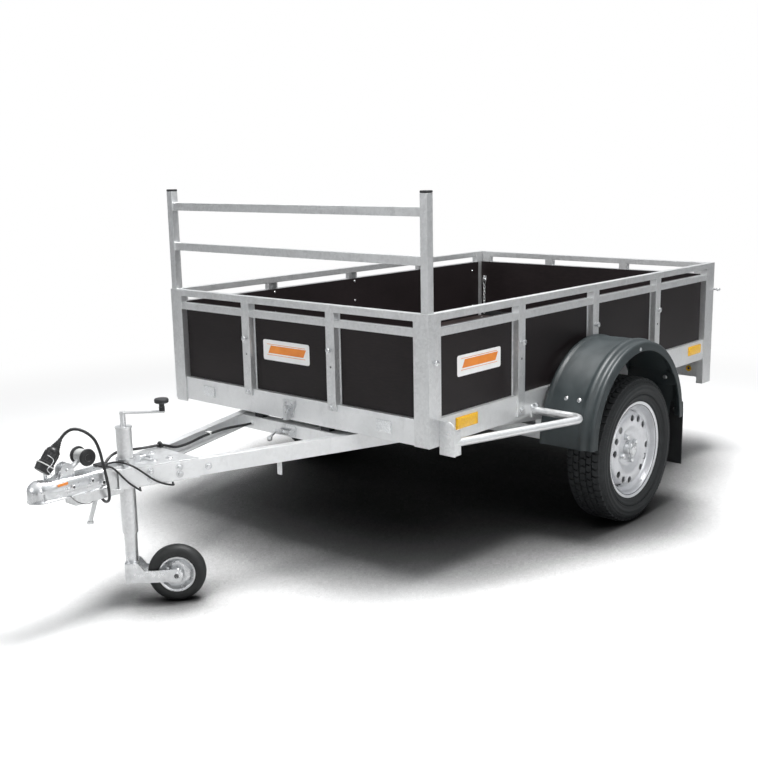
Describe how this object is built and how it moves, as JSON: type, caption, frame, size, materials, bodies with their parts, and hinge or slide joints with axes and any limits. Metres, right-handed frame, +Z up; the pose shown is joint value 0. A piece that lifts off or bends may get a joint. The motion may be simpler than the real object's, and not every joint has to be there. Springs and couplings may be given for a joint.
{
  "type": "utility trailer",
  "caption": "Single-axle tipping box trailer with panelled sides, drawbar, ball coupling, jockey wheel, headboard rack, mudguards and a hinged tailgate.",
  "frame": {"origin": "on the floor under the middle of the bounding box", "axes": "+Y rearwards along the trailer, +X to its left, +Z up"},
  "size_m": [1.716, 3.07, 1.26],
  "materials": {
    "galvanised": "hot-dip galvanised, faint spangle, satin",
    "zinc_plate": "bright zinc plated",
    "film_ply": "dark brown phenolic film, low sheen",
    "tyre": "matt black rubber",
    "wheel_silver": "silver wheel paint",
    "black_plastic": "moulded, fine grain",
    "grey_plastic": "moulded, light grey",
    "black_rubber": "matt",
    "amber_lens": "prismatic lens",
    "white_lens": "prismatic lens",
    "red_lens": "prismatic lens"
  },
  "bodies": {
    "chassis": {"drawbar_arms": "galvanised", "drawbar_nose": "galvanised", "drawbar_cross_beam": "galvanised", "tipping_pivot_tube": "galvanised", "axle_beam": "galvanised", "axle_swing_arms": "galvanised", "coupling_head": "zinc_plate", "coupling_handle": "zinc_plate", "coupling_grip": "black_plastic", "plug": "black_plastic", "plug_holder": "grey_plastic", "cable_tie": "black_plastic", "main_cable": "black_rubber", "left_cable_upper": "black_rubber", "left_cable_lower": "black_rubber", "jockey_outer_tube": "galvanised", "jockey_clamp": "zinc_plate", "jockey_crank": "galvanised", "jockey_knob": "black_plastic", "tipping_latch_base": "zinc_plate", "body_buffers": "black_rubber", "neck_prop": "galvanised"},
    "bed": {"body_beams": "galvanised", "cross_members": "galvanised", "load_floor": "film_ply", "front_corner_posts": "galvanised", "wall_posts": "galvanised", "wall_rails": "galvanised", "front_panel": "film_ply", "side_panels": "film_ply", "rear_portal_posts": "galvanised", "rear_sill": "galvanised", "rear_lamps": "red_lens", "headboard_posts": "galvanised", "headboard_bars": "galvanised", "headboard_caps": "black_plastic", "mudguards": "black_plastic", "mudguard_skirts": "black_plastic", "mudflaps": "black_rubber", "guard_hoops": "galvanised", "tipping_ears": "galvanised", "side_reflectors": "amber_lens", "front_reflectors": "white_lens", "rope_knobs": "zinc_plate", "tipping_latch_hook": "zinc_plate"},
    "tailgate": {"tailgate_uprights": "galvanised", "tailgate_rails": "galvanised", "tailgate_panel": "film_ply", "tailgate_latches": "zinc_plate"},
    "wheel_left": {"road_tyre_left": "tyre", "road_rim_left": "wheel_silver", "road_hub_left": "galvanised"},
    "wheel_right": {"road_tyre_right": "tyre", "road_rim_right": "wheel_silver", "road_hub_right": "galvanised"},
    "jockey_leg": {"jockey_inner_tube": "galvanised"},
    "jockey_swivel": {"jockey_fork": "zinc_plate"},
    "jockey_wheel": {"jockey_tyre": "tyre", "jockey_rim": "zinc_plate"}
  },
  "joints": [
    {"name": "body_tip", "type": "hinge", "parent": "chassis", "child": "bed", "pos_m": [0, 0.472, 0.417], "axis": [-1, 0, 0], "range_deg": [0, 18]},
    {"name": "tailgate_hinge", "type": "hinge", "parent": "bed", "child": "tailgate", "pos_m": [0, 1.479, 0.553], "axis": [-1, 0, 0], "range_deg": [0, 90]},
    {"name": "wheel_left_spin", "type": "hinge", "parent": "chassis", "child": "wheel_left", "pos_m": [0.766, 0.472, 0.2735], "axis": [1, 0, 0], "continuous": true},
    {"name": "wheel_right_spin", "type": "hinge", "parent": "chassis", "child": "wheel_right", "pos_m": [-0.766, 0.472, 0.2735], "axis": [1, 0, 0], "continuous": true},
    {"name": "jockey_lift", "type": "slide", "parent": "chassis", "child": "jockey_leg", "axis": [0, 0, 1], "range_m": [-0.15, 0.05]},
    {"name": "jockey_swivel", "type": "hinge", "parent": "jockey_leg", "child": "jockey_swivel", "pos_m": [0, -1.202, 0.172], "axis": [0, 0, 1], "continuous": true},
    {"name": "jockey_wheel_spin", "type": "hinge", "parent": "jockey_swivel", "child": "jockey_wheel", "pos_m": [0.09167, -1.10019, 0.091], "axis": [0.7431, -0.6691, 0], "continuous": true}
  ]
}
